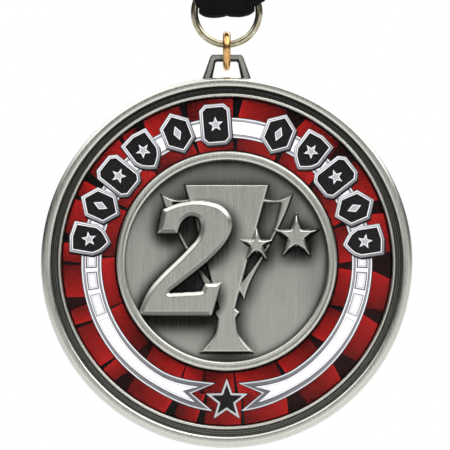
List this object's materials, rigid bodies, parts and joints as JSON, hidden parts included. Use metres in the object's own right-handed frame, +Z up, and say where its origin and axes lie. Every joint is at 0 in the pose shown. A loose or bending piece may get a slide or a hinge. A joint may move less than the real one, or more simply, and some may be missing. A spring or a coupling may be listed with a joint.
{
  "type": "award medal on a neck ribbon",
  "caption": "Round die-cast place medal with a printed colour ring and raised cup and numeral, hung by a jump ring and a ribbon ring from a sewn black neck ribbon.",
  "frame": {"origin": "middle of the neck ribbon's inner face at the back of its loop, where a neck, bust or hook carries it", "axes": "+Z up, against the pull of the hanging medal; the medal's front faces -Y; +X is to the right seen from the front"},
  "size_m": [0.137, 0.105, 0.3699],
  "materials": {
    "ribbon": "black woven satin ribbon with a soft sheen",
    "thread": "black polyester sewing thread",
    "nickel_wire": "nickel-plated steel wire",
    "copper_wire": "copper-plated wire, rose gold in colour",
    "medal_metal": "antique silver plating on a die-cast zinc alloy, brushed faces and dark recesses",
    "adhesive": "double-sided transfer film",
    "print": "printed film, red with a silver-edged white banner and black badges",
    "clear_resin": "clear glossy resin cover"
  },
  "bodies": {
    "ribbon": {"neck_ribbon": "ribbon", "needle_thread": "thread", "bobbin_thread": "thread"},
    "ribbon_ring": {"ribbon_ring": "nickel_wire"},
    "jump_ring": {"jump_ring": "copper_wire"},
    "medal": {"medal_body": "medal_metal", "adhesive_ring": "adhesive", "printed_ring": "print", "clear_cover": "clear_resin"}
  },
  "joints": [
    {"name": "ribbon_ring_roll", "type": "hinge", "parent": "ribbon", "child": "ribbon_ring", "pos_m": [0, -0.1007, -0.2765], "axis": [0, 1, 0], "range_deg": [-30, 30]},
    {"name": "jump_ring_swing", "type": "hinge", "parent": "ribbon_ring", "child": "jump_ring", "pos_m": [0, -0.1007, -0.28262], "axis": [1, 0, 0], "range_deg": [-45, 45]},
    {"name": "medal_swing", "type": "hinge", "parent": "jump_ring", "child": "medal", "pos_m": [0, -0.1007, -0.28528], "axis": [1, 0, 0], "range_deg": [-60, 60]}
  ]
}
